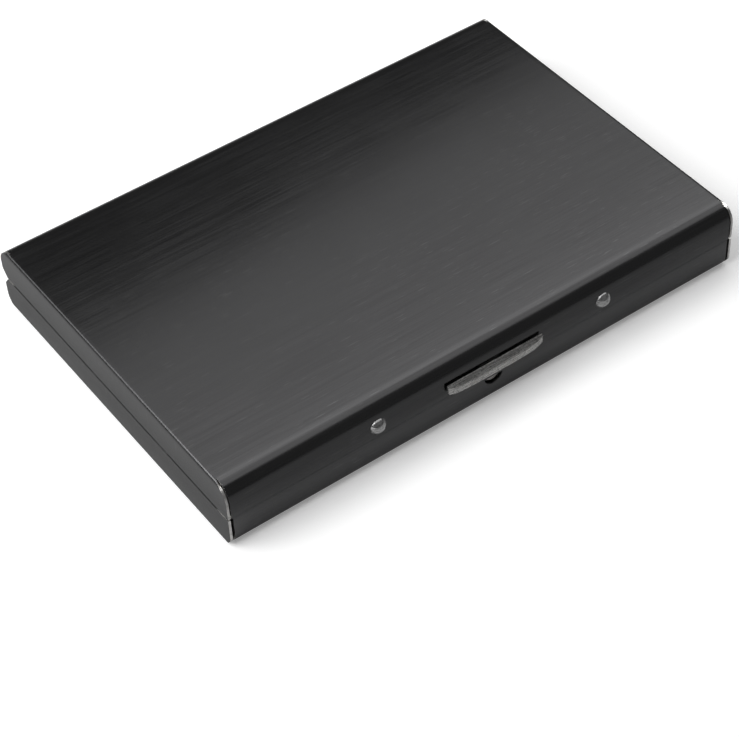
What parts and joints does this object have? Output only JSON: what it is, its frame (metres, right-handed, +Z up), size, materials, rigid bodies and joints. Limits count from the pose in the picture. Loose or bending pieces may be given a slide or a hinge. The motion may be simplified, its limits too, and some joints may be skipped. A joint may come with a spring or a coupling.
{
  "type": "minimalist wallet",
  "caption": "Slim black metal card case of two hinged shells with a sprung push bar latch and a folding black bellows for cards inside.",
  "frame": {"origin": "centre of the plain shell's flat outside face, on the surface the closed case rests on", "axes": "+X along the hinge (long edges), -Y towards the latch, +Z up through the closed case"},
  "size_m": [0.096, 0.0661, 0.0124],
  "materials": {
    "shell_black": "black coated steel with fine lengthwise brushing, satin to semi gloss",
    "bar_steel": "bright brushed steel",
    "inner_steel": "bare spring steel, bright",
    "rivet_steel": "polished",
    "pin_steel": "plain drawn steel",
    "liner_black": "black sheet with a faint sheen",
    "leaf_black": "black sheet, grey cut edges",
    "bellows_cloth": "thin black folded cloth"
  },
  "bodies": {
    "case": {"lower_shell": "shell_black", "hinge_pin": "pin_steel", "lower_liner": "liner_black", "gusset_left_1": "bellows_cloth", "gusset_right_1": "bellows_cloth", "spine_fold_1": "bellows_cloth", "gusset_left_2": "bellows_cloth", "gusset_right_2": "bellows_cloth", "spine_fold_2": "bellows_cloth", "gusset_left_3": "bellows_cloth", "gusset_right_3": "bellows_cloth", "spine_fold_3": "bellows_cloth"},
    "lid": {"upper_shell": "shell_black", "upper_liner": "liner_black", "rivet_left": "rivet_steel", "rivet_right": "rivet_steel", "latch_spring": "inner_steel", "gusset_left_4": "bellows_cloth", "gusset_right_4": "bellows_cloth", "spine_fold_4": "bellows_cloth", "gusset_left_5": "bellows_cloth", "gusset_right_5": "bellows_cloth", "spine_fold_5": "bellows_cloth", "gusset_left_6": "bellows_cloth", "gusset_right_6": "bellows_cloth", "spine_fold_6": "bellows_cloth"},
    "latch": {"latch_bar": "bar_steel", "latch_tongue": "inner_steel"},
    "leaf_1": {"divider_1": "leaf_black"},
    "leaf_2": {"divider_2": "leaf_black"},
    "leaf_3": {"divider_3": "leaf_black"},
    "leaf_4": {"divider_4": "leaf_black"},
    "leaf_5": {"divider_5": "leaf_black"}
  },
  "joints": [
    {"name": "lid_hinge", "type": "hinge", "parent": "case", "child": "lid", "pos_m": [0, 0.0315, 0.0062], "axis": [-1, 0, 0], "range_deg": [0, 97], "deforming": ["gusset_left_1", "gusset_right_1", "spine_fold_1", "gusset_left_2", "gusset_right_2", "spine_fold_2", "gusset_left_3", "gusset_right_3", "spine_fold_3", "gusset_left_4", "gusset_right_4", "spine_fold_4", "gusset_left_5", "gusset_right_5", "spine_fold_5", "gusset_left_6", "gusset_right_6", "spine_fold_6"]},
    {"name": "latch_press", "type": "slide", "parent": "lid", "child": "latch", "axis": [0, 1, 0], "range_m": [0, 0.0003], "stiffness_N_per_m": 800, "springref_m": -0.0005, "deforming": ["latch_spring"]},
    {"name": "leaf_1_fan", "type": "hinge", "parent": "case", "child": "leaf_1", "pos_m": [0, 0.0315, 0.0062], "axis": [-1, 0, 0], "range_deg": [0, 16.22]},
    {"name": "leaf_2_fan", "type": "hinge", "parent": "case", "child": "leaf_2", "pos_m": [0, 0.0315, 0.0062], "axis": [-1, 0, 0], "range_deg": [0, 32.38]},
    {"name": "leaf_3_fan", "type": "hinge", "parent": "case", "child": "leaf_3", "pos_m": [0, 0.0315, 0.0062], "axis": [-1, 0, 0], "range_deg": [0, 48.55]},
    {"name": "leaf_4_fan", "type": "hinge", "parent": "case", "child": "leaf_4", "pos_m": [0, 0.0315, 0.0062], "axis": [-1, 0, 0], "range_deg": [0, 64.72]},
    {"name": "leaf_5_fan", "type": "hinge", "parent": "case", "child": "leaf_5", "pos_m": [0, 0.0315, 0.0062], "axis": [-1, 0, 0], "range_deg": [0, 80.88]}
  ],
  "couplings": [
    {"joint": "leaf_1_fan", "follows": "lid_hinge", "ratio": 0.16667},
    {"joint": "leaf_2_fan", "follows": "lid_hinge", "ratio": 0.33333},
    {"joint": "leaf_3_fan", "follows": "lid_hinge", "ratio": 0.5},
    {"joint": "leaf_4_fan", "follows": "lid_hinge", "ratio": 0.66667},
    {"joint": "leaf_5_fan", "follows": "lid_hinge", "ratio": 0.83333}
  ]
}
